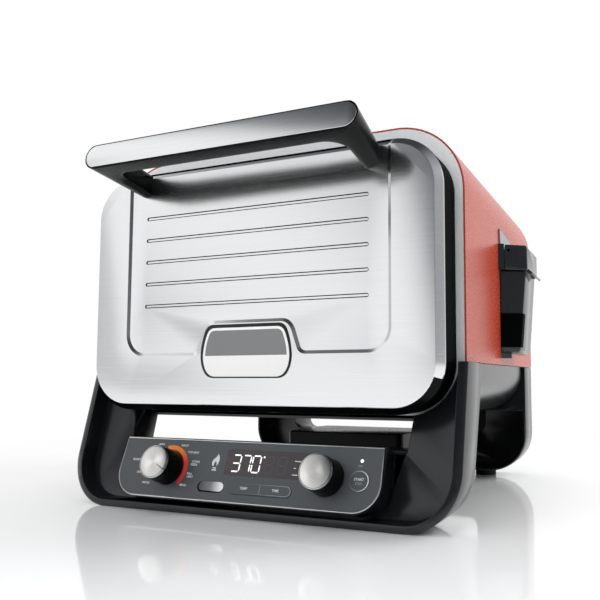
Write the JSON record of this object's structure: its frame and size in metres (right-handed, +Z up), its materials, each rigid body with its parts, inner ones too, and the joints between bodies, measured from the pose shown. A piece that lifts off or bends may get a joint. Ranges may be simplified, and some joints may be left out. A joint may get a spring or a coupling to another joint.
{
  "type": "electric grill and smoker",
  "caption": "Countertop outdoor oven with a brushed drop-down door and bar handle, raked stand with dial console, and a lidded smoke box on the right side.",
  "frame": {"origin": "middle of the overall box at the table, under the feet", "axes": "+X to the right seen from the front, +Y from the door to the back, +Z up"},
  "size_m": [0.46, 0.49, 0.379],
  "materials": {
    "terracotta_paint": "satin powder coat",
    "brushed_face": "horizontal brushing",
    "spun_cap": "spun",
    "badge_metal": "satin",
    "bright_trim": "polished",
    "stand_plastic": "satin moulded",
    "black_gloss": "gloss",
    "black_frame": "heat-proof moulded",
    "black_enamel": "satin enamel",
    "fascia_grey": "fine satin",
    "plated_sheet": "plated sheet",
    "wire_chrome": "plated",
    "fan_metal": "mill",
    "heater_tube": "heat-tinted",
    "mineral_wool": "fibre",
    "black_rubber": "matt",
    "board_green": "circuit board",
    "switch_grey": "moulded",
    "display_glass": "lit segments",
    "lamp_white": "clear"
  },
  "bodies": {
    "cabinet": {"outer_casing": "terracotta_paint", "front_bezel": "brushed_face", "fascia_trim": "bright_trim", "front_frame": "stand_plastic", "rear_frame": "stand_plastic", "lower_tub": "stand_plastic", "console_body": "stand_plastic", "base_pan": "stand_plastic", "power_cover": "stand_plastic", "exhaust_hood": "stand_plastic", "display_window": "black_gloss", "rear_panel": "black_enamel", "smoke_box": "black_enamel", "control_fascia": "fascia_grey", "cavity_liner": "plated_sheet", "fan_cover": "plated_sheet", "rack_rails": "plated_sheet", "smoke_bracket": "plated_sheet", "smoke_duct": "plated_sheet", "hinge_brackets": "plated_sheet", "pellet_basket": "plated_sheet", "wire_rack": "wire_chrome", "lid_pin": "wire_chrome", "rear_screws": "wire_chrome", "temperature_probe": "wire_chrome", "fan_motor": "fan_metal", "upper_heater": "heater_tube", "lower_heater": "heater_tube", "igniter_rod": "heater_tube", "insulation": "mineral_wool", "feet": "black_rubber", "cord_gland": "black_rubber", "control_board": "board_green", "power_board": "board_green", "function_encoder": "switch_grey", "setting_encoder": "switch_grey", "key_switches": "switch_grey", "display_module": "display_glass", "status_light": "lamp_white"},
    "door": {"door_skin": "brushed_face", "door_frame": "black_frame", "door_inner": "plated_sheet", "door_insulation": "mineral_wool", "door_gasket": "black_rubber", "door_badge": "badge_metal", "hinge_pins": "wire_chrome", "handle_body": "black_gloss", "handle_plate": "brushed_face", "handle_screws": "wire_chrome"},
    "function_dial": {"function_knob": "black_gloss", "function_cap": "spun_cap"},
    "setting_dial": {"setting_knob": "black_gloss", "setting_cap": "spun_cap"},
    "start_key": {"start_button": "fascia_grey"},
    "smoke_key": {"smoke_button": "bright_trim"},
    "temp_key": {"temp_button": "fascia_grey"},
    "time_key": {"time_button": "fascia_grey"},
    "smoke_lid": {"smoke_lid": "black_enamel"},
    "fan": {"fan_impeller": "fan_metal"}
  },
  "joints": [
    {"name": "door_drop", "type": "hinge", "parent": "cabinet", "child": "door", "pos_m": [-0.015, -0.15501, 0.108], "axis": [1, 0, 0], "range_deg": [0, 90]},
    {"name": "function_turn", "type": "hinge", "parent": "cabinet", "child": "function_dial", "pos_m": [-0.0995, -0.18408, 0.04323], "axis": [0, -0.9361, 0.3518], "range_deg": [-25, 245]},
    {"name": "setting_turn", "type": "hinge", "parent": "cabinet", "child": "setting_dial", "pos_m": [0.0771, -0.18408, 0.04323], "axis": [0, -0.9361, 0.3518], "continuous": true},
    {"name": "start_press", "type": "slide", "parent": "cabinet", "child": "start_key", "axis": [0, 0.9361, -0.3518], "range_m": [0, 0.0008], "stiffness_N_per_m": 400},
    {"name": "smoke_press", "type": "slide", "parent": "cabinet", "child": "smoke_key", "axis": [0, 0.9361, -0.3518], "range_m": [0, 0.0008], "stiffness_N_per_m": 400},
    {"name": "temp_press", "type": "slide", "parent": "cabinet", "child": "temp_key", "axis": [0, 0.9361, -0.3518], "range_m": [0, 0.0008], "stiffness_N_per_m": 400},
    {"name": "time_press", "type": "slide", "parent": "cabinet", "child": "time_key", "axis": [0, 0.9361, -0.3518], "range_m": [0, 0.0008], "stiffness_N_per_m": 400},
    {"name": "smoke_lid_lift", "type": "hinge", "parent": "cabinet", "child": "smoke_lid", "pos_m": [0.204, 0.06999, 0.279], "axis": [0, -1, 0], "range_deg": [0, 90]},
    {"name": "fan_spin", "type": "hinge", "parent": "cabinet", "child": "fan", "pos_m": [-0.015, 0.19098, 0.235], "axis": [0, 1, 0], "continuous": true}
  ]
}
